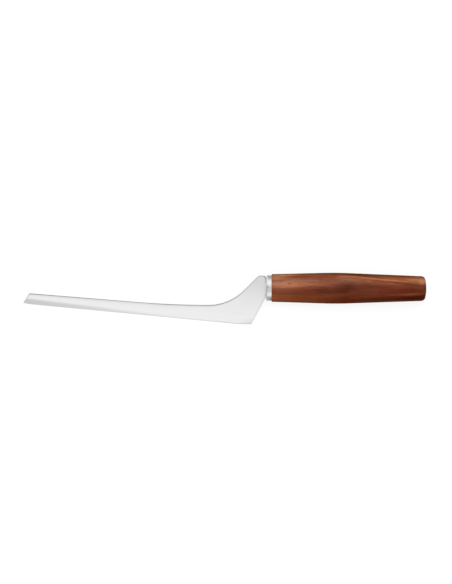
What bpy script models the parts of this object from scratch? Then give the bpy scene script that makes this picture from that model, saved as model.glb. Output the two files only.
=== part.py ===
"""Cheese knife: a cranked steel blade with a hidden tang, a steel ferrule and an oval wooden handle.

While the pieces are made, +X runs along the handle away from the blade, +Y points to the spine's
side and +Z goes through the thickness. The origin is where the handle's axis meets the front face
of the wood. At the end the whole knife is laid on its side, the way it comes to rest on a table.
"""

import math

import bmesh
import bpy
from mathutils import Matrix, Vector

MM = 0.001

# Blade: drops are measured below the handle's axis, setbacks from the front of the ferrule
BLADE_REACH = 181.0 * MM            # front of the ferrule to the point
NECK_THICKNESS = 2.0 * MM           # stock at the ferrule and along the tang
TIP_THICKNESS = 1.2 * MM            # the flanks taper evenly down to this
POINT_DROP = 11.8 * MM
POINT_BELLY = 4.0 * MM              # length of the edge's small upward curve at the point
POINT_BELLY_DROP = 12.75 * MM
POINT_BELLY_ROUND = 12.0 * MM
TIP_SPINE_DROP = 4.75 * MM
TIP_SLANT = math.radians(56.7)      # the end of the blade against its length
TIP_ROUND = 1.5 * MM
SPINE_BEND_SETBACK = 69.7 * MM      # where the sloping spine turns level
SPINE_BEND_ROUND = 690.0 * MM
SPINE_LOW_DROP = 12.95 * MM
CRANK_ANGLE = math.radians(45.4)
CRANK_ROUND = 38.0 * MM
NECK_PEAK = 9.35 * MM               # highest point of the neck, above the axis
NECK_PEAK_SETBACK = 5.6 * MM
NECK_PEAK_ROUND = 3.0 * MM
NECK_END_HEIGHT = 8.9 * MM          # upper corner beside the ferrule
NECK_CHAMFER = 0.9 * MM             # that corner's slanted cut, along the knife
NECK_FACE_ABOVE = 7.3 * MM          # what is left of the neck where it meets the ferrule
NECK_FACE_BELOW = 6.8 * MM
HEEL_DROP = 27.05 * MM
HEEL_SETBACK = 11.1 * MM
HEEL_LEVEL = 9.0 * MM               # level end of the edge, in front of the heel's corner
HEEL_LEVEL_ROUND = 40.0 * MM
HEEL_ROUND = 0.8 * MM
BROKEN_EDGE = 0.55 * MM             # round along the spine, the heel and the tip

# Grind: each flank leans in from the grind line to the edge, and the edge is then sharpened
GRIND_ANGLE = math.radians(6.2)
GROUND_THICKNESS = 0.30 * MM        # left at the edge by the grind
SHARPENED_ANGLE = math.radians(16.0)
EDGE_LAND = 0.06 * MM               # flat left along the cutting edge

# Tang: a plain flat bar in line with the handle
TANG_LENGTH = 66.0 * MM             # measured from the front of the wood
TANG_HEIGHT = 9.0 * MM
TANG_ROUND = 2.0 * MM

# Ferrule: an oval cup over a spigot of the handle
FERRULE_LENGTH = 4.0 * MM           # front of the ferrule to the front of the wood
FERRULE_WALL = 1.0 * MM
FERRULE_FRONT_WALL = 1.2 * MM
FERRULE_EDGE_ROUND = 0.8 * MM

# Handle: two straight tapers that meet in a belly, with a domed end
HANDLE_LENGTH = 115.0 * MM
FRONT_HEIGHT = 20.6 * MM
BELLY_HEIGHT = 23.3 * MM            # where the two tapers would cross
END_HEIGHT = 18.2 * MM
FRONT_THICKNESS = 15.8 * MM
BELLY_THICKNESS = 18.2 * MM
END_THICKNESS = 14.2 * MM
BELLY_SETBACK = 48.0 * MM
BELLY_ROUND = 310.0 * MM
FRONT_CHAMFER = 0.3 * MM
END_ROUND = 3.0 * MM
END_DOME_RADIUS = 30.0 * MM
WOOD_STEP = 0.80 * MM               # how far the wood stands proud of the ferrule
OVAL_POWER = 2.2                    # 2 is an ellipse, more is squarer

CLEARANCE = 0.3 * MM                # between pieces that meet or fit into each other
CUT_MARGIN = 3.0 * MM               # how far a cutter runs past what it cuts
WELD_DISTANCE = 0.001 * MM          # corners of a drawn outline closer than this are one

OVAL_SIDES = 72
ARC_TOLERANCE = 0.02 * MM           # how far a facet may cut the corner of an arc
TAPER_STEPS = 6
ROUND_STEPS = 5
BROKEN_EDGE_STEPS = 3
SHARP_CORNER = math.radians(60)     # edges of the blank sharper than this are broken
SMOOTH_ANGLE = math.radians(35)     # the round pieces are shaded smooth below this

STEEL_DENSITY = 7850.0
WOOD_DENSITY = 600.0

FERRULE_FRONT = -FERRULE_LENGTH
NECK_END = FERRULE_FRONT - CLEARANCE
POINT_X = FERRULE_FRONT - BLADE_REACH


def clear_scene():
    for item in list(bpy.data.objects):
        bpy.data.objects.remove(item, do_unlink=True)


def new_collection(name):
    collection = bpy.data.collections.new(name)
    bpy.context.scene.collection.children.link(collection)
    return collection


def new_material(name, colour, metallic, roughness):
    material = bpy.data.materials.new(name)
    material.use_nodes = True
    shader = material.node_tree.nodes["Principled BSDF"]
    shader.inputs["Base Color"].default_value = (*colour, 1.0)
    shader.inputs["Metallic"].default_value = metallic
    shader.inputs["Roughness"].default_value = roughness
    return material


def new_object(name, mesh, collection):
    item = bpy.data.objects.new(name, mesh)
    collection.objects.link(item)
    return item


def as_cutter(item):
    item.hide_render = True
    item.display_type = "WIRE"
    return item


def half_corner(before, corner, after):
    return (before - corner).angle(after - corner) / 2


def corner_arc(before, corner, after, run):
    """Points of the round that starts this far before a corner and ends as far after it."""
    if run == 0.0:
        return [corner]
    towards_before = (before - corner).normalized()
    towards_after = (after - corner).normalized()
    half_angle = half_corner(before, corner, after)
    middle = (towards_before + towards_after).normalized()
    centre = corner + middle * (run / math.cos(half_angle))
    first = corner + towards_before * run - centre
    last = corner + towards_after * run - centre
    sweep = math.pi - 2 * half_angle
    widest_step = 2 * math.acos(max(0.0, 1 - ARC_TOLERANCE / first.length))
    steps = max(2, math.ceil(sweep / widest_step))
    points = []
    for step in range(steps + 1):
        share = step / steps
        part = first * math.sin((1 - share) * sweep) + last * math.sin(share * sweep)
        points.append(centre + part / math.sin(sweep))
    return points


def rounded_line(corners):
    """Points along a line of (x, y, radius) corners, whose two ends stay as they are.

    Where two rounds don't both fit on the side between them, they share it.
    """
    spots = [Vector((x, y)) for x, y, _ in corners]
    inner = range(1, len(corners) - 1)
    runs = [0.0] * len(corners)
    for index in inner:
        half_angle = half_corner(spots[index - 1], spots[index], spots[index + 1])
        runs[index] = corners[index][2] / math.tan(half_angle)
    shares = [1.0] * len(corners)
    for index in range(len(corners) - 1):
        side = (spots[index + 1] - spots[index]).length
        wanted = runs[index] + runs[index + 1]
        if wanted > side:
            shares[index] = min(shares[index], side / wanted)
            shares[index + 1] = min(shares[index + 1], side / wanted)
    points = [spots[0]]
    for index in inner:
        run = runs[index] * shares[index]
        points += corner_arc(spots[index - 1], spots[index], spots[index + 1], run)
    points.append(spots[-1])
    return points


def plate(name, outline, thickness, collection):
    """A flat outline given its thickness, half of it on each side of the blade's middle plane."""
    curve = bpy.data.curves.new(name + "_outline", "CURVE")
    curve.dimensions = "2D"
    curve.fill_mode = "BOTH"
    curve.extrude = thickness / 2
    spline = curve.splines.new("POLY")
    spline.points.add(len(outline) - 1)
    for point, spot in zip(spline.points, outline):
        point.co = (spot.x, spot.y, 0.0, 1.0)
    spline.use_cyclic_u = True
    drawn = new_object(name + "_outline", curve, collection)
    bpy.context.view_layer.update()
    evaluated = drawn.evaluated_get(bpy.context.evaluated_depsgraph_get())
    mesh = bpy.data.meshes.new_from_object(evaluated)
    mesh.name = name
    shell = bmesh.new()
    shell.from_mesh(mesh)
    bmesh.ops.remove_doubles(shell, verts=shell.verts, dist=WELD_DISTANCE)
    shell.to_mesh(mesh)
    shell.free()
    item = new_object(name, mesh, collection)
    item.matrix_world = drawn.matrix_world
    bpy.data.objects.remove(drawn, do_unlink=True)
    bpy.data.curves.remove(curve)
    return item


def loft(name, rings, collection):
    """A closed body through rings of equally many points, with a flat cap at each end."""
    body = bmesh.new()
    rows = [[body.verts.new(point) for point in ring] for ring in rings]
    for row, following in zip(rows, rows[1:]):
        for index in range(len(row)):
            after = (index + 1) % len(row)
            body.faces.new((row[index], row[after], following[after], following[index]))
    body.faces.new(rows[0])
    body.faces.new(rows[-1])
    bmesh.ops.recalc_face_normals(body, faces=body.faces)
    mesh = bpy.data.meshes.new(name)
    body.to_mesh(mesh)
    body.free()
    return new_object(name, mesh, collection)


def oval_ring(x, half_height, half_thickness):
    """One oval section of the handle or the ferrule."""
    ring = []
    for side in range(OVAL_SIDES):
        angle = 2 * math.pi * side / OVAL_SIDES
        across = math.copysign(abs(math.cos(angle)) ** (2 / OVAL_POWER), math.cos(angle))
        through = math.copysign(abs(math.sin(angle)) ** (2 / OVAL_POWER), math.sin(angle))
        ring.append(Vector((x, half_height * across, half_thickness * through)))
    return ring


def slab_ring(x, half_height, half_thickness):
    return [Vector((x, half_height, half_thickness)), Vector((x, -half_height, half_thickness)),
            Vector((x, -half_height, -half_thickness)), Vector((x, half_height, -half_thickness))]


def bar(name, start, end, half_height, half_thickness, collection):
    rings = [slab_ring(x, half_height, half_thickness) for x in (start, end)]
    return loft(name, rings, collection)


def add_boolean(item, cutter, operation):
    modifier = item.modifiers.new(cutter.name, "BOOLEAN")
    modifier.operation = operation
    modifier.solver = "EXACT"
    modifier.object = cutter


def shade_round(item):
    item.data.shade_smooth()
    item.data.set_sharp_from_angle(angle=SMOOTH_ANGLE)


def edge_corners():
    """The cutting edge, from the point to the heel."""
    heel_x = FERRULE_FRONT - HEEL_SETBACK
    return [
        (POINT_X, -POINT_DROP, 0.0),
        (POINT_X + POINT_BELLY, -POINT_BELLY_DROP, POINT_BELLY_ROUND),
        (heel_x - HEEL_LEVEL, -HEEL_DROP, HEEL_LEVEL_ROUND),
        (heel_x, -HEEL_DROP, HEEL_ROUND),
    ]


def blade_outline():
    """The whole flat blank: along the edge, round the tang and back along the spine."""
    neck_x = NECK_END
    tang_half = TANG_HEIGHT / 2
    peak_x = FERRULE_FRONT - NECK_PEAK_SETBACK
    crank_x = peak_x - (NECK_PEAK + SPINE_LOW_DROP) / math.tan(CRANK_ANGLE)
    tip_spine_x = POINT_X + (POINT_DROP - TIP_SPINE_DROP) / math.tan(TIP_SLANT)
    return rounded_line(edge_corners() + [
        (neck_x, -NECK_FACE_BELOW, 0.0),
        (neck_x, -tang_half, 0.0),
        (TANG_LENGTH, -tang_half, TANG_ROUND),
        (TANG_LENGTH, tang_half, TANG_ROUND),
        (neck_x, tang_half, 0.0),
        (neck_x, NECK_FACE_ABOVE, 0.0),
        (neck_x - NECK_CHAMFER, NECK_END_HEIGHT, 0.0),
        (peak_x, NECK_PEAK, NECK_PEAK_ROUND),
        (crank_x, -SPINE_LOW_DROP, CRANK_ROUND),
        (FERRULE_FRONT - SPINE_BEND_SETBACK, -SPINE_LOW_DROP, SPINE_BEND_ROUND),
        (tip_spine_x, -TIP_SPINE_DROP, TIP_ROUND),
        (POINT_X, -POINT_DROP, 0.0),
    ])[:-1]


def taper_envelope(cutters):
    """What the blade's thickness may fill: even along the tang, thinner towards the point."""
    half_height = HEEL_DROP + CUT_MARGIN
    neck_half = NECK_THICKNESS / 2
    lean = (NECK_THICKNESS - TIP_THICKNESS) / 2 / BLADE_REACH
    tip_half = TIP_THICKNESS / 2 - lean * CUT_MARGIN
    return as_cutter(loft("blade_taper", [
        slab_ring(POINT_X - CUT_MARGIN, half_height, tip_half),
        slab_ring(FERRULE_FRONT, half_height, neck_half),
        slab_ring(TANG_LENGTH + CUT_MARGIN, half_height, neck_half),
    ], cutters))


def grind_cutter(side, cutters):
    """A block whose one face is the ground flank: it leans out from the edge by the grind angle."""
    corners = edge_corners()
    start = Vector((corners[1][0], corners[1][1], 0.0))
    end = Vector((corners[2][0], corners[2][1], 0.0))
    along = (end - start).normalized()
    length = BLADE_REACH + 2 * CUT_MARGIN
    height = NECK_THICKNESS / math.tan(GRIND_ANGLE)
    depth = NECK_THICKNESS + CUT_MARGIN
    block = bmesh.new()
    bmesh.ops.create_cube(block, size=1.0)
    bmesh.ops.scale(block, vec=(length, height + CUT_MARGIN, depth), verts=block.verts)
    lift = Vector((length / 2 - POINT_BELLY - CUT_MARGIN, (height - CUT_MARGIN) / 2, side * depth / 2))
    bmesh.ops.translate(block, vec=lift, verts=block.verts)
    mesh = bpy.data.meshes.new("grind")
    block.to_mesh(mesh)
    block.free()
    cutter = new_object("grind_upper" if side > 0 else "grind_lower", mesh, cutters)
    slope = Matrix.Rotation(math.atan2(along.y, along.x), 4, "Z")
    lean = Matrix.Rotation(side * GRIND_ANGLE, 4, "X")
    start.z = side * GROUND_THICKNESS / 2
    cutter.matrix_world = Matrix.Translation(start) @ slope @ lean
    return as_cutter(cutter)


def sharpening_cutter(cutters):
    """A bar with a V groove that follows the edge and leaves it sharpened from both sides."""
    corners = edge_corners()
    before = Vector(corners[0][:2])
    belly = Vector(corners[1][:2])
    level = Vector(corners[2][:2])
    heel = Vector(corners[3][:2])
    before += (before - belly).normalized() * CUT_MARGIN
    heel += (heel - level).normalized() * CUT_MARGIN
    path = rounded_line([(*before, 0.0), corners[1], corners[2], (*heel, 0.0)])
    reach = NECK_THICKNESS + CUT_MARGIN
    slope = math.tan(SHARPENED_ANGLE)
    rise = GROUND_THICKNESS / (slope - math.tan(GRIND_ANGLE))
    root = EDGE_LAND / 2 / slope
    section = [(-root, 0.0), (rise, (rise + root) * slope), (rise, reach), (-reach, reach),
               (-reach, -reach), (rise, -reach), (rise, -(rise + root) * slope)]
    rings = []
    for index, spot in enumerate(path):
        ahead = path[min(index + 1, len(path) - 1)]
        behind = path[max(index - 1, 0)]
        along = (ahead - behind).normalized()
        into_blade = Vector((-along.y, along.x))
        ring = []
        for inward, through in section:
            place = spot + into_blade * inward
            ring.append(Vector((place.x, place.y, through)))
        rings.append(ring)
    return as_cutter(loft("sharpening", rings, cutters))


def make_blade(parts, cutters):
    """A thick blank, thinned by the taper, broken along its edges, then ground and sharpened."""
    blade = plate("blade", blade_outline(), NECK_THICKNESS + CUT_MARGIN, parts)
    add_boolean(blade, taper_envelope(cutters), "INTERSECT")
    broken = blade.modifiers.new("broken_edges", "BEVEL")
    broken.width = BROKEN_EDGE
    broken.segments = BROKEN_EDGE_STEPS
    broken.limit_method = "ANGLE"
    broken.angle_limit = SHARP_CORNER
    broken.use_clamp_overlap = False
    add_boolean(blade, grind_cutter(1, cutters), "DIFFERENCE")
    add_boolean(blade, grind_cutter(-1, cutters), "DIFFERENCE")
    add_boolean(blade, sharpening_cutter(cutters), "DIFFERENCE")
    blade.data.materials.append(new_material("satin_steel", (0.62, 0.62, 0.63), 1.0, 0.35))
    return blade


def tang_slot(name, start, end, cutters):
    half_height = TANG_HEIGHT / 2 + CLEARANCE
    half_thickness = NECK_THICKNESS / 2 + CLEARANCE
    return as_cutter(bar(name, start, end, half_height, half_thickness, cutters))


def ferrule_half_sizes():
    return FRONT_HEIGHT / 2 - WOOD_STEP, FRONT_THICKNESS / 2 - WOOD_STEP


def make_ferrule(parts, cutters):
    """A cup: round the front edge, back along the outside and forward again inside."""
    half_height, half_thickness = ferrule_half_sizes()
    rings = []
    for step in range(ROUND_STEPS + 1):
        angle = math.pi / 2 * step / ROUND_STEPS
        drop = FERRULE_EDGE_ROUND * (1 - math.sin(angle))
        x = FERRULE_FRONT + FERRULE_EDGE_ROUND * (1 - math.cos(angle))
        rings.append(oval_ring(x, half_height - drop, half_thickness - drop))
    inner_height = half_height - FERRULE_WALL
    inner_thickness = half_thickness - FERRULE_WALL
    rings.append(oval_ring(-CLEARANCE, half_height, half_thickness))
    rings.append(oval_ring(-CLEARANCE, inner_height, inner_thickness))
    rings.append(oval_ring(FERRULE_FRONT + FERRULE_FRONT_WALL, inner_height, inner_thickness))
    ferrule = loft("ferrule", rings, parts)
    start = FERRULE_FRONT - CUT_MARGIN
    add_boolean(ferrule, tang_slot("ferrule_slot", start, 0.0, cutters), "DIFFERENCE")
    shade_round(ferrule)
    ferrule.data.materials.append(new_material("polished_steel", (0.70, 0.70, 0.71), 1.0, 0.15))
    return ferrule


def barrel_profile(front, belly, end):
    """Half sizes along the handle, as points: two straight tapers with a round belly between."""
    return rounded_line([
        (0.0, front / 2, 0.0),
        (BELLY_SETBACK, belly / 2, BELLY_ROUND),
        (HANDLE_LENGTH, end / 2, 0.0),
    ])


def half_size_at(profile, x):
    for before, after in zip(profile, profile[1:]):
        if before.x <= x <= after.x:
            share = (x - before.x) / (after.x - before.x)
            return before.y + (after.y - before.y) * share
    return profile[-1].y


def barrel_ring(x, drop=0.0):
    """The barrel's section at x, or one that lies inside it by the drop."""
    half_height = half_size_at(barrel_profile(FRONT_HEIGHT, BELLY_HEIGHT, END_HEIGHT), x)
    half_thickness = half_size_at(barrel_profile(FRONT_THICKNESS, BELLY_THICKNESS, END_THICKNESS), x)
    return oval_ring(x, half_height - drop, half_thickness - drop)


def spigot_front():
    return FERRULE_FRONT + FERRULE_FRONT_WALL + CLEARANCE


def spigot_rings():
    """The part of the wood that fits inside the ferrule."""
    inset = FERRULE_WALL + CLEARANCE
    half_height, half_thickness = ferrule_half_sizes()
    return [oval_ring(x, half_height - inset, half_thickness - inset) for x in (spigot_front(), 0.0)]


def end_rings():
    """The rounded rim of the barrel's end and the dome inside it, which meet without a corner."""
    dome_centre = HANDLE_LENGTH - END_DOME_RADIUS
    reach = END_DOME_RADIUS - END_ROUND
    rim_angle = math.asin((END_HEIGHT / 2 - END_ROUND) / reach)
    round_x = dome_centre + reach * math.cos(rim_angle)
    rings = []
    for step in range(ROUND_STEPS + 1):
        angle = (math.pi / 2 - rim_angle) * step / ROUND_STEPS
        x = round_x + END_ROUND * math.sin(angle)
        rings.append(barrel_ring(x, END_ROUND * (1 - math.cos(angle))))
    rim = rings[-1]
    for step in range(ROUND_STEPS - 1, 0, -1):
        angle = rim_angle * step / ROUND_STEPS
        x = dome_centre + END_DOME_RADIUS * math.cos(angle)
        share = math.sin(angle) / math.sin(rim_angle)
        rings.append([Vector((x, point.y * share, point.z * share)) for point in rim])
    return rings


def make_handle(parts, cutters):
    """The spigot, the chamfered front, the barrel and the domed end, as one turned-looking body."""
    profile = barrel_profile(FRONT_HEIGHT, BELLY_HEIGHT, END_HEIGHT)
    belly = [point.x for point in profile[1:-1]]
    end = end_rings()
    front_taper = belly[0] - FRONT_CHAMFER
    rear_taper = end[0][0].x - belly[-1]
    stations = [FRONT_CHAMFER + front_taper * step / TAPER_STEPS for step in range(TAPER_STEPS)]
    stations += belly
    stations += [belly[-1] + rear_taper * step / TAPER_STEPS for step in range(1, TAPER_STEPS)]
    rings = spigot_rings()
    rings.append(barrel_ring(0.0, FRONT_CHAMFER))
    rings += [barrel_ring(x) for x in stations]
    rings += end
    handle = loft("handle", rings, parts)
    slot_start = spigot_front() - CUT_MARGIN
    slot = tang_slot("handle_slot", slot_start, TANG_LENGTH + CLEARANCE, cutters)
    add_boolean(handle, slot, "DIFFERENCE")
    shade_round(handle)
    handle.data.materials.append(new_material("plum_wood", (0.20, 0.075, 0.035), 0.0, 0.45))
    return handle


def evaluated_copy(item):
    """The finished mesh of an object in world space, as triangles."""
    evaluated = item.evaluated_get(bpy.context.evaluated_depsgraph_get())
    mesh = bpy.data.meshes.new_from_object(evaluated)
    solid = bmesh.new()
    solid.from_mesh(mesh)
    bpy.data.meshes.remove(mesh)
    solid.transform(item.matrix_world)
    bmesh.ops.triangulate(solid, faces=solid.faces)
    return solid


def centre_of_mass(solids):
    """Balance point of (solid, density) pairs, summed over the cones from the origin."""
    mass = 0.0
    moment = Vector()
    for solid, density in solids:
        for face in solid.faces:
            first, second, third = (vertex.co for vertex in face.verts)
            cone = density * first.dot(second.cross(third)) / 6
            mass += cone
            moment += (first + second + third) * (cone / 4)
    return moment / mass


def holds(face, centre):
    """Whether a body that lies on this face has its balance point over it."""
    for loop in face.loops:
        side = loop.link_loop_next.vert.co - loop.vert.co
        if side.cross(centre - loop.vert.co).dot(face.normal) < 0:
            return False
    return True


def lay_down(pieces, holder):
    """Turn the knife onto the face of its hull, on the lower flank's side, that it rests on."""
    bpy.context.view_layer.update()
    solids = [(evaluated_copy(item), density) for item, density in pieces]
    centre = centre_of_mass(solids)
    hull = bmesh.new()
    for solid, _ in solids:
        for vertex in solid.verts:
            hull.verts.new(vertex.co)
        solid.free()
    bmesh.ops.convex_hull(hull, input=hull.verts)
    hull.normal_update()
    resting = [face for face in hull.faces if holds(face, centre)]
    lowest = min(resting, key=lambda face: face.normal.z)
    turn = lowest.normal.rotation_difference(Vector((0.0, 0.0, -1.0))).to_matrix().to_4x4()
    corners = [turn @ vertex.co for vertex in hull.verts]
    hull.free()
    low = Vector([min(corner[axis] for corner in corners) for axis in range(3)])
    high = Vector([max(corner[axis] for corner in corners) for axis in range(3)])
    place = -Vector(((low.x + high.x) / 2, (low.y + high.y) / 2, low.z))
    holder.matrix_world = Matrix.Translation(place) @ turn


def main():
    clear_scene()
    parts = new_collection("cheese_knife")
    cutters = new_collection("cutters")
    steel_pieces = [make_blade(parts, cutters), make_ferrule(parts, cutters)]
    handle = make_handle(parts, cutters)
    weights = [(item, STEEL_DENSITY) for item in steel_pieces] + [(handle, WOOD_DENSITY)]
    holder = new_object("knife_lying", None, parts)
    lay_down(weights, holder)
    for item in [*parts.objects, *cutters.objects]:
        if item is not holder:
            item.parent = holder


main()
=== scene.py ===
import math

import bpy
import numpy as np
from mathutils import Matrix, Vector


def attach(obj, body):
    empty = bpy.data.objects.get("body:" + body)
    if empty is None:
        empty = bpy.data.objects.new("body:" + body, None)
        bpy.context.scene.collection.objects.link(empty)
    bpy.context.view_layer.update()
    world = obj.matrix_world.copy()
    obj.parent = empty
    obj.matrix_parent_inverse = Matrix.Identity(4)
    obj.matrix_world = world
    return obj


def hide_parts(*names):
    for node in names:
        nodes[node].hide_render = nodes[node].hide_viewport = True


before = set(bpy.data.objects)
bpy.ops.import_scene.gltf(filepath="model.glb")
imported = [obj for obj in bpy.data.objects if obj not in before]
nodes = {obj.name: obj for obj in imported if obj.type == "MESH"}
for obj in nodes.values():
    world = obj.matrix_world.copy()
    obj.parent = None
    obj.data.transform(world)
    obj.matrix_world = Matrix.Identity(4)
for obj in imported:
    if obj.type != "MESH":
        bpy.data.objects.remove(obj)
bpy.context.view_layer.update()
mm = 0.001
sameSpot = 0.001  # corners closer than this, in millimetres, lie in one plane
weldGap = 0.0001  # and closer than this they are one
print("frame loaded:", sorted(nodes))


def deselectAll():
    bpy.ops.object.select_all(action="DESELECT")


def makeActive(piece):
    deselectAll()
    piece.select_set(True)
    bpy.context.view_layer.objects.active = piece


def startEditing(piece, selectMode="FACE"):
    makeActive(piece)
    bpy.ops.object.mode_set(mode="EDIT")
    bpy.ops.mesh.select_mode(type=selectMode)
    bpy.ops.mesh.select_all(action="DESELECT")


def stopEditing():
    bpy.ops.object.mode_set(mode="OBJECT")


def applyModifier(piece, modifier):
    makeActive(piece)
    bpy.ops.object.modifier_apply(modifier=modifier.name)


handleSizes = {
    "length": 115.0,
    "frontHeight": 20.6,
    "bellyHeight": 23.3,
    "endHeight": 18.2,
    "frontThickness": 15.8,
    "bellyThickness": 18.2,
    "endThickness": 14.2,
    "bellySetback": 48.0,
    "bellyRound": 310.0,
    "frontChamfer": 0.3,
    "endRound": 3.0,
    "endDome": 30.0,
    "squareness": 2.2,  # 2 is an ellipse, more is squarer
    "sides": 144,
    "barrelSteps": 44,
    "roundSteps": 9,
}


def cornersOf(node):
    places = {tuple(round(v, 7) for v in corner.co) for corner in node.data.vertices}
    return np.array(sorted(places))


def findKnifeAxes():
    # where the knife lies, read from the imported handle, which is even about its own axes
    corners = cornersOf(nodes["handle"])
    middle = corners.mean(0)
    along, tall, _ = np.linalg.svd(corners - middle, full_matrices=False)[2]
    if along @ (middle - cornersOf(nodes["blade"]).mean(0)) < 0:
        along = -along
    if tall[1] < 0:
        tall = -tall
    reach = ((corners - middle) @ along).max()
    origin = middle + along * (reach - handleSizes["length"] * mm)
    through = np.cross(along, tall)
    place = Matrix([along, tall, through]).transposed().to_4x4()
    place.translation = Vector(origin)
    return place


knifePlace = findKnifeAxes()
knifeTurn = knifePlace.to_3x3()
knifeOrigin = knifePlace.translation.copy()
rolled = math.degrees(math.acos(knifeTurn.col[2].z))
print("knife axes found, rolled", round(rolled, 2), "degrees")


def layDown(piece):
    # from the knife's own axes, in millimetres, to where it lies
    makeActive(piece)
    piece.matrix_world = knifePlace @ Matrix.Scale(mm, 4)
    bpy.ops.object.transform_apply(location=True, rotation=True, scale=True)


def addNode(tree, kind, **settings):
    node = tree.nodes.new(kind)
    for name, value in settings.items():
        setattr(node, name, value)
    return node


def feed(tree, socket, value):
    if isinstance(value, bpy.types.NodeSocket):
        tree.links.new(value, socket)
    else:
        socket.default_value = value


def newMaterial(name):
    material = bpy.data.materials.new(name)
    material.use_nodes = True
    tree = material.node_tree
    return material, tree, tree.nodes["Principled BSDF"]


def mapped(tree, source, centre=(0, 0, 0), turn=(0, 0, 0), size=(1, 1, 1)):
    # the pattern's own room: moved to the centre, turned and stretched to the size
    mapping = addNode(tree, "ShaderNodeMapping", vector_type="TEXTURE")
    feed(tree, mapping.inputs["Vector"], source)
    feed(tree, mapping.inputs["Location"], centre)
    feed(tree, mapping.inputs["Rotation"], turn)
    feed(tree, mapping.inputs["Scale"], size)
    return mapping.outputs["Vector"]


def knifeRoom(tree):
    # object coordinates turned to the knife's own axes, in millimetres from the front of the wood
    coordinates = addNode(tree, "ShaderNodeTexCoord")
    turn = knifeTurn.to_euler("XYZ")
    return mapped(tree, coordinates.outputs["Object"], knifeOrigin, turn, (mm, mm, mm))


def noise(tree, source, size, detail=3.0, centre=(0, 0, 0), roughness=0.5):
    place = mapped(tree, source, centre=centre, size=size)
    texture = addNode(tree, "ShaderNodeTexNoise")
    feed(tree, texture.inputs["Vector"], place)
    feed(tree, texture.inputs["Scale"], 1.0)
    feed(tree, texture.inputs["Detail"], detail)
    feed(tree, texture.inputs["Roughness"], roughness)
    return texture


def maths(tree, operation, *values, clamp=False):
    node = addNode(tree, "ShaderNodeMath", operation=operation, use_clamp=clamp)
    for socket, value in zip(node.inputs, values):
        feed(tree, socket, value)
    return node.outputs["Value"]


def ranged(tree, value, fromLow, fromHigh, toLow, toHigh, shape="LINEAR"):
    node = addNode(tree, "ShaderNodeMapRange", interpolation_type=shape)
    for name, setting in zip(("Value", "From Min", "From Max", "To Min", "To Max"),
                             (value, fromLow, fromHigh, toLow, toHigh)):
        feed(tree, node.inputs[name], setting)
    return node.outputs["Result"]


def spot(tree, source, centre, size, turnDegrees=0.0):
    # a soft oval patch, 1 in its middle and 0 at its rim
    # Cycles goes through the nodes as they were added: the mapping comes first, or dozens of
    # them wait at once and the material is too big for it
    turn = (0.0, 0.0, math.radians(turnDegrees))
    place = mapped(tree, source, centre, turn, size)
    gradient = addNode(tree, "ShaderNodeTexGradient", gradient_type="SPHERICAL")
    feed(tree, gradient.inputs["Vector"], place)
    return ranged(tree, gradient.outputs["Fac"], 0.0, 1.0, 0.0, 1.0, "SMOOTHSTEP")


def ramp(tree, value, stops):
    node = addNode(tree, "ShaderNodeValToRGB")
    feed(tree, node.inputs["Fac"], value)
    elements = node.color_ramp.elements
    while len(elements) < len(stops):
        elements.new(0.5)
    for element, (position, colour) in zip(elements, stops):
        element.position = position
        element.color = (*colour, 1.0)
    return node.outputs["Color"]


def blendColours(tree, share, first, second, mode="MIX"):
    node = addNode(tree, "ShaderNodeMix", data_type="RGBA", blend_type=mode)
    feed(tree, node.inputs[0], share)
    for socket, value in ((node.inputs[6], first), (node.inputs[7], second)):
        feed(tree, socket, value if isinstance(value, bpy.types.NodeSocket) else (*value, 1.0))
    return node.outputs[2]


def bump(tree, height, strength, distance):
    node = addNode(tree, "ShaderNodeBump")
    feed(tree, node.inputs["Strength"], strength)
    feed(tree, node.inputs["Distance"], distance)
    feed(tree, node.inputs["Height"], height)
    return node.outputs["Normal"]


def startRing(name, station, sides, squareness):
    # a circle across the knife, squared up a little; a station is (x, half height, half thickness)
    deselectAll()
    bpy.ops.mesh.primitive_circle_add(vertices=sides, radius=1.0, rotation=(0.0, math.pi / 2, 0.0))
    piece = bpy.context.object
    piece.name = name
    piece.data.name = name
    bpy.ops.object.transform_apply(location=True, rotation=True, scale=True)
    x, halfHeight, halfThickness = station
    for corner in piece.data.vertices:
        angle = math.atan2(corner.co.z, corner.co.y)
        across = math.copysign(abs(math.cos(angle)) ** (2 / squareness), math.cos(angle))
        through = math.copysign(abs(math.sin(angle)) ** (2 / squareness), math.sin(angle))
        corner.co = (x, halfHeight * across, halfThickness * through)
    return piece


def drawRings(piece, stations):
    # from station to station, as a hand would: extrude, then resize
    bpy.ops.mesh.select_all(action="SELECT")
    for before, after in zip(stations, stations[1:]):
        step = (after[0] - before[0], 0.0, 0.0)
        bpy.ops.mesh.extrude_region_move(TRANSFORM_OT_translate={"value": step})
        grow = (1.0, after[1] / before[1], after[2] / before[2])
        bpy.ops.transform.resize(value=grow, center_override=(after[0], 0.0, 0.0))


def closeRing(piece, x):
    # a face over the open ring at x
    for edge in piece.data.edges:
        edge.select = all(abs(piece.data.vertices[i].co.x - x) < sameSpot for i in edge.vertices)
    bpy.ops.object.mode_set(mode="EDIT")
    bpy.ops.mesh.edge_face_add()
    stopEditing()


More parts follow.
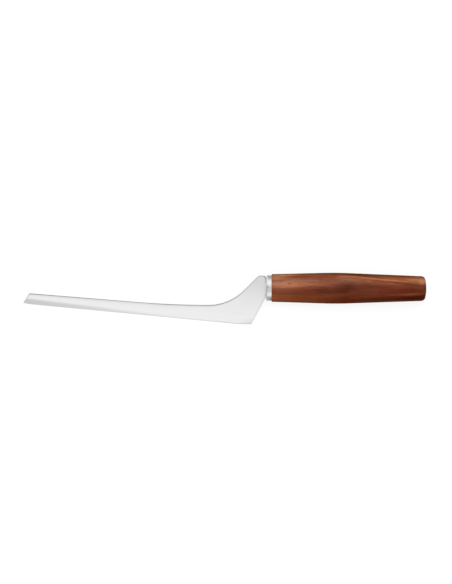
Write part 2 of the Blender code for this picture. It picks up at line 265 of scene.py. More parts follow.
def cutSlot(piece, start, end):
    # a straight slot for the tang
    halfHeight = tangSizes["height"] / 2 + clearance
    halfThickness = tangSizes["thickness"] / 2 + clearance
    deselectAll()
    bpy.ops.mesh.primitive_cube_add(size=1.0, location=((start + end) / 2, 0.0, 0.0))
    cutter = bpy.context.object
    bpy.ops.object.mode_set(mode="EDIT")
    bpy.ops.transform.resize(value=(end - start, 2 * halfHeight, 2 * halfThickness))
    stopEditing()
    slotCut = piece.modifiers.new("slot", "BOOLEAN")
    slotCut.operation = "DIFFERENCE"
    slotCut.solver = "EXACT"
    slotCut.object = cutter
    applyModifier(piece, slotCut)
    bpy.data.objects.remove(cutter, do_unlink=True)


def finishRound(piece):
    startEditing(piece)
    bpy.ops.mesh.select_all(action="SELECT")
    bpy.ops.mesh.remove_doubles(threshold=weldGap)
    bpy.ops.mesh.normals_make_consistent(inside=False)
    stopEditing()
    bpy.ops.object.shade_smooth_by_angle(angle=math.radians(smoothAngle))


ferruleSizes = {
    "length": 4.0,
    "wall": 1.0,
    "frontWall": 1.2,
    "frontRound": 0.8,
    "rearRound": 0.12,
    "woodStep": 0.80,
    "seam": 0.08,  # between the ferrule and the wood
    "roundSteps": 8,
    "sides": 144,
}
tangSizes = {"length": 66.0, "height": 9.0, "thickness": 2.0}
clearance = 0.3  # round the tang, and round the spigot inside the ferrule
slotRun = 1.0  # how far a slot's cutter runs past the piece
smoothAngle = 35.0


def barrelHalf(x, front, belly, end):
    # two straight tapers that meet in a round belly
    s = handleSizes
    frontSlope = (belly - front) / 2 / s["bellySetback"]
    endSlope = (end - belly) / 2 / (s["length"] - s["bellySetback"])
    run = s["bellyRound"] * math.tan((math.atan(frontSlope) - math.atan(endSlope)) / 2)
    if x < s["bellySetback"] - run:
        return front / 2 + frontSlope * x
    if x > s["bellySetback"] + run:
        return belly / 2 + endSlope * (x - s["bellySetback"])
    share = (x - s["bellySetback"] + run) / (2 * run)
    slope = frontSlope + (endSlope - frontSlope) * share / 2
    return front / 2 + frontSlope * (s["bellySetback"] - run) + slope * share * 2 * run


def barrelStation(x, drop=0.0):
    s = handleSizes
    halfHeight = barrelHalf(x, s["frontHeight"], s["bellyHeight"], s["endHeight"])
    halfThickness = barrelHalf(x, s["frontThickness"], s["bellyThickness"], s["endThickness"])
    return x, halfHeight - drop, halfThickness - drop


def endStations():
    # the rounded rim, then the dome inside it
    s = handleSizes
    domeCentre = s["length"] - s["endDome"]
    reach = s["endDome"] - s["endRound"]
    rimAngle = math.asin((s["endHeight"] / 2 - s["endRound"]) / reach)
    roundX = domeCentre + reach * math.cos(rimAngle)
    stations = []
    for step in range(s["roundSteps"] + 1):
        angle = (math.pi / 2 - rimAngle) * step / s["roundSteps"]
        stations.append(barrelStation(roundX + s["endRound"] * math.sin(angle),
                                      s["endRound"] * (1 - math.cos(angle))))
    rim = stations[-1]
    for step in range(s["roundSteps"] - 1, 0, -1):
        angle = rimAngle * step / s["roundSteps"]
        share = math.sin(angle) / math.sin(rimAngle)
        x = domeCentre + s["endDome"] * math.cos(angle)
        stations.append((x, rim[1] * share, rim[2] * share))
    return stations


def buildHandle():
    s = handleSizes
    f = ferruleSizes
    spigotFront = -f["length"] + f["frontWall"] + clearance
    spigotInset = f["woodStep"] + f["wall"] + clearance
    spigotHalf = (s["frontHeight"] / 2 - spigotInset, s["frontThickness"] / 2 - spigotInset)
    end = endStations()
    stations = [(spigotFront, *spigotHalf), (0.0, *spigotHalf)]
    stations.append(barrelStation(0.0, s["frontChamfer"]))
    run = end[0][0] - s["frontChamfer"]
    for step in range(s["barrelSteps"]):
        x = s["frontChamfer"] + run * step / s["barrelSteps"]
        stations.append(barrelStation(x))
    stations += end
    piece = startRing("handle_wood", stations[0], s["sides"], s["squareness"])
    startEditing(piece, "EDGE")
    drawRings(piece, stations)
    bpy.ops.mesh.merge(type="CENTER")  # the pole of the dome
    bpy.ops.mesh.select_all(action="DESELECT")
    stopEditing()
    closeRing(piece, spigotFront)
    finishRound(piece)
    cutSlot(piece, spigotFront - slotRun, tangSizes["length"] + clearance)
    finishRound(piece)
    layDown(piece)
    return piece


handlePiece = buildHandle()
print("handle modelled:", len(handlePiece.data.polygons), "faces")


def buildFerrule():
    s = handleSizes
    f = ferruleSizes
    front = -f["length"]
    rear = -f["seam"]
    outer = (s["frontHeight"] / 2 - f["woodStep"], s["frontThickness"] / 2 - f["woodStep"])
    inner = tuple(half - f["wall"] for half in outer)
    stations = []
    for step in range(f["roundSteps"] + 1):
        angle = math.pi / 2 * step / f["roundSteps"]
        drop = f["frontRound"] * (1 - math.sin(angle))
        x = front + f["frontRound"] * (1 - math.cos(angle))
        stations.append((x, outer[0] - drop, outer[1] - drop))
    for angle in (0.0, math.pi / 4, math.pi / 2):
        drop = f["rearRound"] * (1 - math.cos(angle))
        x = rear - f["rearRound"] * (1 - math.sin(angle))
        stations.append((x, outer[0] - drop, outer[1] - drop))
    stations.append((rear, *inner))
    stations.append((front + f["frontWall"], *inner))
    piece = startRing("ferrule_cup", stations[0], f["sides"], s["squareness"])
    startEditing(piece, "EDGE")
    drawRings(piece, stations)
    bpy.ops.mesh.edge_face_add()  # the cup's floor
    stopEditing()
    closeRing(piece, front)
    finishRound(piece)
    cutSlot(piece, front - slotRun, rear + slotRun)
    finishRound(piece)
    layDown(piece)
    return piece


ferrulePiece = buildFerrule()
print("ferrule modelled:", len(ferrulePiece.data.polygons), "faces")

bladeSizes = {
    "weld": 0.000002,  # metres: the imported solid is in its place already
    "flatAngle": 0.3,
    "smoothAngle": 50.0,
    "flankLean": 2.0,  # how far a face leans from the plate, in degrees
    "sharpenedLean": (10.0, 25.0),
    "edgeFrom": (-181.0, -12.75),  # the cutting edge, from point to heel
    "edgeTo": (-24.1, -27.05),
    "edgeReach": 2.0,
    "tipEnd": -180.0,  # from here on the slanted end is finished as the heel is
    "tipFacing": -0.4,  # its faces look at least this far towards the point
    "spineFacing": (-0.3, 2.5),  # and the spine's no further down or back than this
    "tangRoot": (-4.9, 5.5),  # behind and within this the edges are finished as the flank is
}


def buildBlade():
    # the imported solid's own faces, merged
    b = bladeSizes
    piece = bpy.data.objects.new("blade_plate", nodes["blade"].data.copy())
    piece.data.name = "blade_plate"
    piece.data.materials.clear()
    bpy.context.scene.collection.objects.link(piece)
    startEditing(piece)
    bpy.ops.mesh.select_all(action="SELECT")
    bpy.ops.mesh.remove_doubles(threshold=b["weld"])
    bpy.ops.mesh.dissolve_limited(angle_limit=math.radians(b["flatAngle"]))
    stopEditing()
    if piece.data.has_custom_normals:
        bpy.ops.mesh.customdata_custom_splitnormals_clear()
    bpy.ops.object.shade_smooth_by_angle(angle=math.radians(b["smoothAngle"]))
    weighted = piece.modifiers.new("weighted", "WEIGHTED_NORMAL")
    weighted.keep_sharp = True
    applyModifier(piece, weighted)
    return piece


bladePiece = buildBlade()
print("blade modelled:", len(bladePiece.data.polygons), "faces")


noiseSpan = (0.3, 0.7)  # where nearly all of a noise texture's values lie

bladeSteel = {
    "level": 0.904,  # how much of the light the steel gives back
    "levelSpread": 0.03,
    "roughness": 0.34,
    "roughnessSpread": 0.06,
    "grainSize": (9.0, 0.07, 0.07),
    "cloudSize": (46.0, 9.0, 9.0),
    "grainShare": 0.6,  # the clouds have the rest
    "tint": (1.0, 0.999, 1.002),
    "grainStrength": 0.10,
    "grainDepth": 0.00002,
    "scratchSize": (14.0, 0.05, 0.05),
    "scratchSpan": (0.66, 0.72),  # only the noise's highest crests are scratches
    "scratchDepth": 0.05,
    # painted light on the steel: centre, size, turn in degrees, share of the light lost; a positive
    # share is painted shade, a negative one a painted highlight
    "paintedLightSpots": [
        # painted shade on the flank towards the neck and the ferrule, then at the heel's lower
        # corner
        ((-8.0, 12.0, 0.0), (44.0, 34.0, 40.0), 0.0, 0.20),
        ((-14.0, -27.0, 0.0), (14.0, 6.0, 40.0), 0.0, 0.13),
    ],
    "bands": [],
    "spineShade": 0.0,
}

# bands of painted shade: a line from here, turned in degrees; where across it they begin and are
# full;
# how far along it they fade out; share of the light lost
groundShadeBand = ((-181.0, -8.6, 0.0), -6.8, (1.1, -1.3), 140.0, 0.315)  # painted shade below the grind line, towards the point
sharpenedShadeBand = (*groundShadeBand[:-1], 0.22)  # the same painted shade on the sharpened edge
heelShadeBand = ((-15.1, -27.05, 0.0), 62.5, (1.7, 0.2), 900.0, 0.10)  # painted shade along the rim of the heel

spineShade = {
    # painted shade under the spine's rim: the spine's height at places along the knife
    "spine": [(-185.0, -4.4), (-100.1, -10.9), (-87.0, -11.8), (-73.7, -12.44), (-60.0, -12.83),
              (-47.3, -12.95), (-42.0, -12.55), (-37.0, -11.47), (-32.0, -9.65), (-27.0, -6.95),
              (-22.0, -3.12), (-10.0, 8.95), (-4.0, 15.0)],
    "heights": (-15.0, 15.0),
    "reach": (0.3, 2.4),  # how far below the spine it starts and ends
}


def steelMaterial(name, steel):
    material, tree, shader = newMaterial(name)
    room = knifeRoom(tree)
    grain = noise(tree, room, steel["grainSize"]).outputs["Fac"]
    cloud = noise(tree, room, steel["cloudSize"], detail=2.0).outputs["Fac"]
    crests = noise(tree, room, steel["scratchSize"], detail=1.0, centre=(3.0, 1.0, 7.0))
    crests = crests.outputs["Fac"]
    scratch = ranged(tree, crests, *steel["scratchSpan"], 0.0, steel["scratchDepth"])
    clouds = maths(tree, "MULTIPLY", cloud, 1.0 - steel["grainShare"])
    tone = maths(tree, "MULTIPLY_ADD", grain, steel["grainShare"], clouds)
    spread = steel["levelSpread"]
    level = ranged(tree, tone, *noiseSpan, steel["level"] - spread, steel["level"] + spread)
    level = maths(tree, "SUBTRACT", level, scratch)
    kept = 1.0
    # painted shade and painted highlights, spot by spot
    for centre, size, turn, lost in steel["paintedLightSpots"]:
        kept = maths(tree, "MULTIPLY_ADD", spot(tree, room, centre, size, turn), -lost, kept)
    level = maths(tree, "MULTIPLY", level, kept, clamp=True)
    # bands of painted shade along a line
    for start, turnDegrees, edges, reach, lost in steel["bands"]:
        turn = (0.0, 0.0, math.radians(turnDegrees))
        parts = addNode(tree, "ShaderNodeSeparateXYZ")
        feed(tree, parts.inputs["Vector"], mapped(tree, room, start, turn))
        across = ranged(tree, parts.outputs["Y"], *edges, 0.0, 1.0, "SMOOTHSTEP")
        along = ranged(tree, parts.outputs["X"], 0.0, reach, lost, 0.0)
        band = maths(tree, "MULTIPLY", across, along)
        level = maths(tree, "MULTIPLY", level, maths(tree, "SUBTRACT", 1.0, band))
    # painted shade just under the spine
    if steel["spineShade"] > 0.0:
        s = spineShade
        front, rear = s["spine"][0][0], s["spine"][-1][0]
        low, high = s["heights"]
        run, rise = rear - front, high - low
        places = [((x - front) / run, ((y - low) / rise,) * 3) for x, y in s["spine"]]
        parts = addNode(tree, "ShaderNodeSeparateXYZ")
        feed(tree, parts.inputs["Vector"], room)
        height = ramp(tree, ranged(tree, parts.outputs["X"], front, rear, 0.0, 1.0), places)
        height = ranged(tree, height, 0.0, 1.0, low, high)
        below = maths(tree, "SUBTRACT", height, parts.outputs["Y"])
        shade = ranged(tree, below, *s["reach"], steel["spineShade"], 0.0, "SMOOTHSTEP")
        level = maths(tree, "MULTIPLY", level, maths(tree, "SUBTRACT", 1.0, shade))
    colour = addNode(tree, "ShaderNodeCombineColor")
    for channel, share in zip(("Red", "Green", "Blue"), steel["tint"]):
        feed(tree, colour.inputs[channel], maths(tree, "MULTIPLY", level, share))
    feed(tree, shader.inputs["Base Color"], colour.outputs["Color"])
    feed(tree, shader.inputs["Metallic"], 1.0)
    low = steel["roughness"] - steel["roughnessSpread"]
    high = steel["roughness"] + steel["roughnessSpread"]
    feed(tree, shader.inputs["Roughness"], ranged(tree, grain, *noiseSpan, low, high))
    brushed = bump(tree, grain, steel["grainStrength"], steel["grainDepth"])
    feed(tree, shader.inputs["Normal"], brushed)
    return material


def finishFor(face):
    # which finish, and with it which painted light, a face of the blade has, from its lean and how
    # near the cutting edge it lies
    b = bladeSizes
    centre = knifePlace.inverted() @ face.center / mm
    normal = knifeTurn.transposed() @ face.normal
    lean = math.degrees(math.acos(min(1.0, abs(normal.z))))
    share = (centre.x - b["edgeFrom"][0]) / (b["edgeTo"][0] - b["edgeFrom"][0])
    edgeHeight = b["edgeFrom"][1] + share * (b["edgeTo"][1] - b["edgeFrom"][1])
    atTangRoot = centre.x > b["tangRoot"][0] and abs(centre.y) < b["tangRoot"][1]
    if lean < b["flankLean"] or atTangRoot:
        return flankFinish
    if lean < b["sharpenedLean"][0]:
        return groundFinish
    if lean < b["sharpenedLean"][1] and normal.y < 0 and centre.y - edgeHeight < b["edgeReach"]:
        return sharpenedFinish
    slanted = centre.x < b["tipEnd"] and normal.x < b["tipFacing"]
    down, back = b["spineFacing"]
    upward = normal.y > abs(normal.x) * down and normal.x < abs(normal.y) * back
    return spineFinish if upward and not slanted else heelFinish


flankSteel = dict(bladeSteel, spineShade=0.15, bands=[heelShadeBand])
groundSteel = dict(flankSteel, bands=[groundShadeBand, heelShadeBand])
sharpenedSteel = dict(
    bladeSteel, level=0.78, roughness=0.25, bands=[sharpenedShadeBand],
    paintedLightSpots=[((-14.0, -27.0, 0.0), (70.0, 16.0, 40.0), 0.0, 0.15)],
)
# the spine's edge is the blade's own steel: its low level is a painted dark reflection, its first
# spot a painted highlight at the crank, its second painted shade in the neck's upper corner
spineSteel = dict(
    bladeSteel, level=0.32, roughness=0.28,
    paintedLightSpots=[
        ((-14.0, 6.0, 0.0), (34.0, 26.0, 40.0), 0.0, -0.9),
        ((-4.8, 7.9, 0.0), (3.2, 3.0, 10.0), 0.0, 1.95),
    ],
)
# the heel's edges carry the painted shade along the heel's rim, and a painted shadow at the neck's
# upper corner, in the gap by the ferrule
heelSteel = dict(
    bladeSteel, level=0.90, roughness=0.5, bands=[heelShadeBand],
    paintedLightSpots=[((-4.5, 7.0, 0.0), (1.6, 2.0, 10.0), 0.0, 0.9)],
)
ferruleSteel = dict(
    bladeSteel, level=0.715, levelSpread=0.015, roughness=0.13, roughnessSpread=0.03,
    tint=(1.0, 0.995, 1.025), grainStrength=0.03, scratchDepth=0.02,
    # painted reflections on the polished ferrule: bright and dark bands across its height, a bright
    # top and a dark lower part on its front rim, a dark lower rear corner
    paintedLightSpots=[
        ((-4.0, -1.9, 4.0), (1.5, 7.6, 14.0), 0.0, 0.36),
        ((-3.1, 0.9, 6.0), (1.4, 1.4, 6.0), 0.0, 0.30),
        ((-3.6, 7.9, 4.0), (1.5, 3.6, 8.0), 0.0, -0.60),
        ((-2.4, 8.2, 4.0), (0.7, 3.6, 8.0), 0.0, 0.26),
        ((-1.6, 8.0, 4.0), (2.6, 2.4, 8.0), 0.0, 0.12),
        ((-2.0, 3.9, 6.0), (5.0, 3.3, 12.0), 0.0, -0.27),
        ((-2.0, 0.4, 6.0), (4.0, 2.0, 12.0), 0.0, 0.07),
        ((-2.0, -2.0, 6.0), (4.0, 3.0, 12.0), 0.0, 0.16),
        ((-2.0, -4.9, 4.0), (5.0, 2.2, 8.0), 0.0, -0.38),
        ((-2.0, -7.2, 4.0), (4.0, 1.8, 8.0), 0.0, 0.16),
        ((-0.4, -8.8, 2.0), (2.4, 2.6, 8.0), 0.0, 0.50),
    ],
)

# the blade's one steel, in copies that differ in roughness and in painted light
bladeFinishes = [
    steelMaterial("blade_flank", flankSteel),
    steelMaterial("blade_ground", groundSteel),
    steelMaterial("blade_sharpened", sharpenedSteel),
    steelMaterial("blade_spine_edge", spineSteel),
    steelMaterial("blade_heel_edge", heelSteel),
]
for finish in bladeFinishes:
    bladePiece.data.materials.append(finish)
flankFinish, groundFinish, sharpenedFinish, spineFinish, heelFinish = range(len(bladeFinishes))
for face in bladePiece.data.polygons:
    face.material_index = finishFor(face)
ferrulePiece.data.materials.append(steelMaterial("ferrule_polished", ferruleSteel))
print("steel finished")

handleWood = {
    "tones": [
        (0.00, (0.040, 0.0055, 0.0015)),
        (0.16, (0.060, 0.0105, 0.0035)),
        (0.36, (0.100, 0.0215, 0.0090)),
        (0.55, (0.160, 0.0400, 0.0175)),
        (0.64, (0.200, 0.0550, 0.0255)),
        (0.73, (0.250, 0.0770, 0.0370)),
        (0.80, (0.300, 0.1030, 0.0500)),
        (0.86, (0.350, 0.1280, 0.0650)),
        (0.91, (0.400, 0.1580, 0.0840)),
        (1.00, (0.500, 0.2100, 0.1170)),
    ],
    "startTone": 0.48,
    "figureSize": (50.0, 4.0, 4.0),
    "figureDepth": 0.16,
    "streakSize": (22.0, 0.7, 0.7),
    "streakDepth": 0.38,
    "fibreSize": (6.0, 0.2, 0.2),
    "fibreDepth": 0.16,
    "mottleSize": (3.6, 1.5, 1.5),
    "mottleDepth": 0.12,
    "warpSize": (34.0, 8.0, 8.0),
    "warpReach": 1.6,
    "hueSize": (22.0, 2.2, 2.2),
    "hueSpread": 0.45,
    "hues": ((1.0, 0.89, 0.62), (1.0, 1.07, 1.30)),  # golden, then pinkish
    "halfHeight": 12.0,
    # painted sheen: how pale and pinkish the wood is across its height, from the edge side up:
    # millimetres, share
    "paintedSheenAcross": [(-12.0, 0.0), (-9.0, 0.03), (-7.8, 0.15), (-5.8, 0.20), (-4.0, 0.56),
                  (-2.6, 0.64), (-0.8, 0.56), (1.3, 0.78), (5.0, 0.71), (7.8, 0.44),
                  (9.4, 0.22), (12.0, 0.16)],
    "spotDepth": (6.0, 16.0),  # how far above the middle all the spots lie, and how deep they reach
    "spots": [
        # centre, size, turn in degrees, how much lighter or darker, how much pinker or more golden
        # the first is a painted sheen, the pale patch on the upper front near the ferrule
        ((8.0, 2.6), (41.0, 7.8), -3.0, 0.48, 0.0),
        ((36.0, 5.7), (36.0, 7.7), -5.0, 0.28, 0.0),
        ((55.0, 0.8), (13.0, 5.4), 1.0, -0.21, 0.35),
        ((36.0, -1.7), (27.0, 4.1), -2.0, -0.15, 0.0),
        ((88.0, 6.7), (38.0, 4.3), -3.0, 0.40, -0.25),
        ((112.0, 6.1), (22.0, 5.6), -8.0, 0.31, -0.2),
        ((58.0, 8.1), (24.0, 5.0), -7.0, 0.27, 0.0),
        ((104.0, -6.7), (41.0, 3.3), 2.0, -0.33, -0.2),
        ((4.0, 9.2), (25.0, 3.9), 5.0, 0.42, -0.2),
        ((1.0, -7.2), (25.0, 6.9), -1.0, 0.27, 0.2),
        ((98.0, -5.2), (24.0, 2.4), 4.0, 0.16, 0.2),
        ((51.0, 11.6), (41.0, 2.1), -2.0, -0.21, 0.0),
        ((63.0, -9.4), (32.0, 2.8), 3.0, -0.14, 0.0),
        ((24.0, -8.1), (30.0, 4.6), 5.0, 0.14, 0.0),
        ((81.0, 3.3), (33.0, 3.0), -5.0, 0.20, 0.0),
        ((70.5, 7.7), (25.0, 0.9), -5.0, 0.22, 0.0),
        ((92.0, 5.4), (20.0, 0.9), -4.5, 0.20, -0.2),
        ((12.0, 8.3), (20.0, 0.8), 1.0, -0.10, 0.2),
        ((14.0, 9.5), (20.0, 1.2), 1.0, 0.11, -0.3),
        ((13.0, 3.3), (2.4, 1.3), 0.0, -0.11, 0.0),
        ((96.0, -4.8), (22.0, 0.8), 2.0, 0.18, 0.0),
        ((56.0, 1.6), (9.0, 3.0), 24.0, -0.07, 0.2),
        ((58.0, 4.2), (13.0, 3.2), -4.0, 0.10, 0.35),
        ((48.0, 4.6), (30.0, 5.0), -2.0, 0.04, 0.35),
        ((16.0, -1.0), (14.0, 3.4), 0.0, -0.08, -0.52),
        ((86.0, 4.9), (22.0, 3.4), -4.5, -0.06, -0.46),
        ((102.0, -3.6), (19.0, 4.6), 2.0, -0.12, -0.40),
        ((50.0, -10.2), (22.0, 3.0), 0.0, -0.04, -0.35),
        ((14.0, -8.6), (24.0, 3.8), 0.0, 0.0, -0.35),
        ((67.0, 9.4), (20.0, 1.9), -4.0, -0.14, 0.0),
        ((63.0, -5.4), (16.0, 2.0), 0.0, -0.08, 0.0),
        # these two are painted shade on the rounded end
        ((115.8, -3.0), (2.8, 9.0), 0.0, -0.28, 0.2),
        ((116.0, 4.5), (2.2, 6.0), 0.0, -0.26, 0.0),
        ((56.0, 5.3), (8.0, 1.3), -3.0, -0.10, 0.0),
        ((52.5, -2.5), (8.0, 1.8), -3.0, -0.11, 0.0),
        ((76.0, -1.6), (9.0, 3.0), 0.0, 0.08, 0.25),
        ((106.0, -2.1), (9.0, 2.2), 0.0, 0.0, -0.45),
        ((101.0, 3.8), (8.0, 2.0), 0.0, 0.0, -0.30),
        ((111.0, 6.5), (9.0, 2.5), 0.0, 0.0, 0.42),
        ((40.0, 6.4), (12.0, 2.2), 0.0, 0.0, 0.35),
        ((91.0, 3.1), (15.0, 1.8), -4.0, 0.12, 0.0),
        ((104.0, -4.2), (12.0, 1.5), 2.0, 0.15, 0.0),
        ((13.0, 6.8), (16.0, 2.2), 0.0, 0.10, 0.1),
        ((16.0, 1.9), (11.0, 1.9), 0.0, 0.09, -0.3),
        ((54.4, -7.0), (7.0, 1.6), 0.0, -0.13, -0.2),
        ((31.0, 9.5), (20.0, 1.7), 1.5, 0.10, 0.0),
        ((111.4, 4.3), (4.4, 4.4), 0.0, 0.15, -0.1),
        ((37.0, -2.2), (11.0, 4.2), 0.0, 0.0, 0.35),
        ((67.0, 1.2), (22.0, 3.8), -2.0, 0.0, 0.30),
        ((56.0, -8.2), (18.0, 3.4), 0.0, 0.0, -0.35),
        ((92.0, 9.4), (22.0, 2.2), -3.0, -0.03, -0.45),
        ((18.0, -9.0), (13.0, 1.6), 0.0, 0.0, -0.40),
        ((89.0, 0.3), (20.0, 2.0), 0.0, 0.07, -0.10),
        ((24.0, -6.4), (30.0, 1.2), 0.0, 0.05, 0.0),
        ((92.0, -6.4), (26.0, 1.2), 0.0, 0.04, 0.0),
        ((62.0, 7.6), (11.0, 1.3), -3.0, -0.06, 0.0),
        ((72.0, 4.8), (7.0, 1.6), -4.0, 0.06, 0.2),
        ((54.0, 0.9), (6.0, 2.2), 0.0, 0.06, 0.0),
        ((44.0, -3.4), (10.0, 2.0), 0.0, -0.04, 0.3),
        ((12.5, 9.4), (8.0, 1.2), 0.0, -0.04, 0.0),
        ((54.0, 9.5), (8.0, 1.2), 0.0, 0.05, 0.0),
        ((36.5, -7.8), (8.0, 1.6), 0.0, -0.05, 0.0),
        ((90.0, -5.6), (6.0, 1.2), 0.0, -0.05, 0.0),
        ((75.5, -8.4), (7.0, 1.6), 0.0, -0.05, 0.15),
        ((7.5, 3.6), (9.0, 3.0), 0.0, 0.03, 0.22),
        ((24.0, 6.8), (11.0, 2.0), 0.0, 0.0, -0.25),
        ((69.0, 7.1), (7.0, 1.8), -3.0, -0.02, 0.20),
        ((79.0, 6.2), (7.0, 1.2), -3.0, -0.04, 0.0),
        ((50.0, -5.8), (8.0, 1.4), 0.0, 0.0, -0.25),
        ((96.0, -3.8), (6.0, 1.6), 0.0, 0.05, -0.30),
    ],
    "casts": [
        # redder or greyer places: centre, size, turn in degrees, what the colour is multiplied by
        ((94.0, -1.9), (26.0, 5.0), 0.0, (1.03, 0.84, 0.90)),
        ((58.0, 2.9), (13.0, 4.2), -3.0, (0.93, 1.16, 1.18)),
        ((4.0, 8.8), (26.0, 2.8), 1.0, (0.96, 1.12, 1.12)),
        ((113.0, 6.4), (6.0, 4.4), 0.0, (0.97, 1.12, 1.10)),
        ((55.0, -9.5), (19.0, 2.4), 0.0, (1.04, 0.86, 0.76)),
        ((19.0, -9.4), (14.0, 2.0), 0.0, (1.03, 0.88, 0.68)),
        ((107.0, -9.0), (16.0, 2.6), 2.0, (1.07, 0.68, 0.62)),
        ((88.0, 9.3), (20.0, 1.7), -3.0, (1.03, 0.93, 0.78)),
    ],
    "roughness": 0.46,
    "roughnessSpread": 0.07,
    "ior": 1.3,
    "gloss": 0.05,
    "fibreShare": 0.6,  # of the relief; the streaks have the rest
    "bumpStrength": 0.25,
    "bumpDepth": 0.00008,
}


def woodMaterial(name, wood):
    material, tree, shader = newMaterial(name)
    room = knifeRoom(tree)
    warp = noise(tree, room, wood["warpSize"], detail=2.0).outputs["Color"]
    shift = addNode(tree, "ShaderNodeVectorMath", operation="MULTIPLY_ADD")
    feed(tree, shift.inputs[0], warp)
    feed(tree, shift.inputs[1], (0.0, wood["warpReach"], wood["warpReach"]))
    centred = addNode(tree, "ShaderNodeVectorMath", operation="SUBTRACT")
    feed(tree, centred.inputs[0], room)
    feed(tree, centred.inputs[1], (0.0, wood["warpReach"] / 2, wood["warpReach"] / 2))
    feed(tree, shift.inputs[2], centred.outputs["Vector"])
    grown = shift.outputs["Vector"]
    figure = noise(tree, grown, wood["figureSize"], detail=2.0, centre=(31.0, 4.0, 2.0))
    figure = figure.outputs["Fac"]
    streak = noise(tree, grown, wood["streakSize"], detail=4.0, roughness=0.6)
    streak = streak.outputs["Fac"]
    fibre = noise(tree, room, wood["fibreSize"]).outputs["Fac"]
    mottle = noise(tree, grown, wood["mottleSize"], detail=2.0, centre=(5.0, 1.0, 9.0))
    mottle = mottle.outputs["Fac"]
    depths = wood["figureDepth"] + wood["streakDepth"] + wood["fibreDepth"] + wood["mottleDepth"]
    tone = wood["startTone"] - depths / 2
    tone = maths(tree, "MULTIPLY_ADD", figure, wood["figureDepth"], tone)
    tone = maths(tree, "MULTIPLY_ADD", streak, wood["streakDepth"], tone)
    tone = maths(tree, "MULTIPLY_ADD", fibre, wood["fibreDepth"], tone)
    tone = maths(tree, "MULTIPLY_ADD", mottle, wood["mottleDepth"], tone)
    parts = addNode(tree, "ShaderNodeSeparateXYZ")
    feed(tree, parts.inputs["Vector"], room)
    half = wood["halfHeight"]
    # painted sheen: paler and pinker across the middle of the height
    across = [((y + half) / (2 * half), (share,) * 3) for y, share in wood["paintedSheenAcross"]]
    hue = ramp(tree, ranged(tree, parts.outputs["Y"], -half, half, 0.0, 1.0), across)
    drift = noise(tree, grown, wood["hueSize"], detail=2.0, centre=(7.0, 3.0, 5.0))
    drift = ranged(tree, drift.outputs["Fac"], *noiseSpan, -wood["hueSpread"], wood["hueSpread"])
    hue = maths(tree, "ADD", hue, drift)
    above, depth = wood["spotDepth"]
    for centre, size, turn, strength, pinker in wood["spots"]:
        patch = spot(tree, grown, (*centre, above), (*size, depth), turn)
        tone = maths(tree, "MULTIPLY_ADD", patch, strength, tone)
        hue = maths(tree, "MULTIPLY_ADD", patch, pinker, hue)
    tint = blendColours(tree, maths(tree, "ADD", hue, 0.0, clamp=True), *wood["hues"])
    colour = blendColours(tree, 1.0, ramp(tree, tone, wood["tones"]), tint, "MULTIPLY")
    for centre, size, turn, cast in wood["casts"]:
        patch = spot(tree, grown, (*centre, above), (*size, depth), turn)
        colour = blendColours(tree, patch, colour, cast, "MULTIPLY")
    feed(tree, shader.inputs["Base Color"], colour)
    feed(tree, shader.inputs["IOR"], wood["ior"])
    feed(tree, shader.inputs["Specular IOR Level"], wood["gloss"])
    low = wood["roughness"] - wood["roughnessSpread"]
    high = wood["roughness"] + wood["roughnessSpread"]
    feed(tree, shader.inputs["Roughness"], ranged(tree, streak, *noiseSpan, high, low))
    relief = maths(tree, "MULTIPLY", streak, 1.0 - wood["fibreShare"])
    relief = maths(tree, "MULTIPLY_ADD", fibre, wood["fibreShare"], relief)
    feed(tree, shader.inputs["Normal"], bump(tree, relief, wood["bumpStrength"], wood["bumpDepth"]))
    return material


handlePiece.data.materials.append(woodMaterial("handle_plum_wood", handleWood))
print("wood finished")

for piece, node, slot in (
    (bladePiece, "blade", "blade_steel"),
    (ferrulePiece, "ferrule", "ferrule_steel"),
    (handlePiece, "handle", "handle_wood"),
):
    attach(piece, "root")
    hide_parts(node)

# a white floor, a world with soft bright and dark zones, and two long soft lamps
studio = {
    "floorSide": 12.0,
    "floorDrop": 0.00005,
    "floorColour": 0.20,
    "floorGlow": 0.84,
    "floorReflected": 0.5,  # how much of that glow the steel reflects
    # degrees round the knife's length, 0 out of the upper flank and plus towards the spine; level
    "worldLevels": [(-180, 0.55), (-114, 0.52), (-92, 0.58), (-76, 0.70), (-63, 0.82), (-30, 0.98),
                    (-6, 0.97), (-1, 0.86), (5, 0.86), (10, 0.98), (48, 0.96), (63, 0.86),
                    (76, 0.72), (92, 0.60), (114, 0.55), (180, 0.55)],
    "lamps": [
        # name, degrees round, width, level
        ("lamp_spine_side", 30.0, 0.66, 0.33),
        ("lamp_edge_side", -43.0, 0.38, 0.35),
    ],
    "lampsOver": -33.0,  # the middle of the whole knife
    "lampDistance": 1.0,
    "lampLength": 1.5,
}


def buildFloor():
    deselectAll()
    place = (0.0, 0.0, -studio["floorDrop"])
    bpy.ops.mesh.primitive_plane_add(size=studio["floorSide"], location=place)
    floor = bpy.context.object
    floor.name = "studio_floor"
    material, tree, shader = newMaterial("floor_white")
    level = studio["floorColour"]
    feed(tree, shader.inputs["Base Color"], (level, level, level, 1.0))
    feed(tree, shader.inputs["Roughness"], 1.0)
    feed(tree, shader.inputs["Specular IOR Level"], 0.0)
    feed(tree, shader.inputs["Emission Color"], (1.0, 1.0, 1.0, 1.0))
    rays = addNode(tree, "ShaderNodeLightPath")
    reflected = maths(tree, "MULTIPLY", rays.outputs["Is Glossy Ray"], studio["floorReflected"])
    seen = maths(tree, "MAXIMUM", rays.outputs["Is Camera Ray"], reflected)
    glow = maths(tree, "MULTIPLY", seen, studio["floorGlow"])
    feed(tree, shader.inputs["Emission Strength"], glow)
    floor.data.materials.append(material)


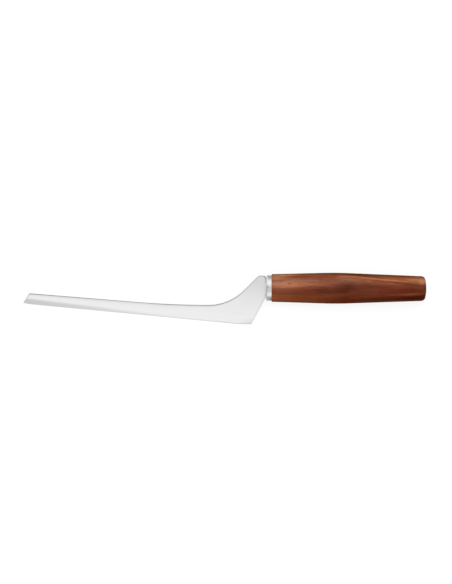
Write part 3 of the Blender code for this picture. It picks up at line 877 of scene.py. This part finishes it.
def buildWorld():
    world = bpy.data.worlds.new("studio_world")
    bpy.context.scene.world = world
    world.use_nodes = True
    tree = world.node_tree
    background = tree.nodes["Background"]
    coordinates = addNode(tree, "ShaderNodeTexCoord")
    turned = mapped(tree, coordinates.outputs["Generated"], turn=knifeTurn.to_euler("XYZ"))
    parts = addNode(tree, "ShaderNodeSeparateXYZ")
    feed(tree, parts.inputs["Vector"], turned)
    angle = maths(tree, "ARCTAN2", parts.outputs["Y"], parts.outputs["Z"])
    share = ranged(tree, angle, -math.pi, math.pi, 0.0, 1.0)
    stops = [((degrees + 180) / 360, (level,) * 3) for degrees, level in studio["worldLevels"]]
    zones = ramp(tree, share, stops)
    rays = addNode(tree, "ShaderNodeLightPath")
    feed(tree, background.inputs["Color"],
         blendColours(tree, rays.outputs["Is Camera Ray"], zones, (1.0, 1.0, 1.0)))
    feed(tree, background.inputs["Strength"], 1.0)


def buildLamps():
    middle = knifePlace @ Vector((studio["lampsOver"] * mm, 0.0, 0.0))
    for name, degrees, width, level in studio["lamps"]:
        angle = math.radians(degrees)
        towards = knifeTurn @ Vector((0.0, math.sin(angle), math.cos(angle)))
        along = knifeTurn.col[0]
        lamp = bpy.data.lights.new(name, "AREA")
        lamp.shape = "RECTANGLE"
        lamp.size = studio["lampLength"]
        lamp.size_y = width
        lamp.energy = level * math.pi * studio["lampLength"] * width
        holder = bpy.data.objects.new(name, lamp)
        bpy.context.scene.collection.objects.link(holder)
        turn = Matrix([along, towards.cross(along), towards]).transposed().to_4x4()
        turn.translation = middle + towards * studio["lampDistance"]
        holder.matrix_world = turn
        holder.visible_camera = False
        holder.visible_glossy = False  # the steel mirrors only the world, so it never burns out


buildFloor()
buildWorld()
buildLamps()
print("studio built")

# square to the blade's flank, as the photograph is taken
cameraView = {
    "pixelSize": 0.7442,  # millimetres at the blade's flank
    "frame": (452, 584),
    "originPixel": (271.7, 287.95),
    "roll": 0.24,
    "lens": 150.0,
    "sensor": 36.0,
    "clip": (0.05, 50.0),
}


def buildCamera():
    c = cameraView
    roll = math.radians(c["roll"])
    right = knifeTurn @ Vector((math.cos(roll), math.sin(roll), 0.0))
    up = knifeTurn @ Vector((-math.sin(roll), math.cos(roll), 0.0))
    back = knifeTurn.col[2]
    across = (c["frame"][0] / 2 - c["originPixel"][0]) * c["pixelSize"] * mm
    above = (c["originPixel"][1] - c["frame"][1] / 2) * c["pixelSize"] * mm
    distance = c["frame"][1] * c["pixelSize"] * mm * c["lens"] / c["sensor"]
    data = bpy.data.cameras.new("photo_camera")
    data.lens = c["lens"]
    data.sensor_width = c["sensor"]
    data.clip_start, data.clip_end = c["clip"]
    camera = bpy.data.objects.new("photo_camera", data)
    bpy.context.scene.collection.objects.link(camera)
    turn = Matrix([right, up, back]).transposed().to_4x4()
    turn.translation = knifeOrigin + right * across + up * above + back * distance
    camera.matrix_world = turn
    bpy.context.scene.camera = camera


buildCamera()
bpy.context.scene.view_settings.view_transform = "Standard"
print("camera set")
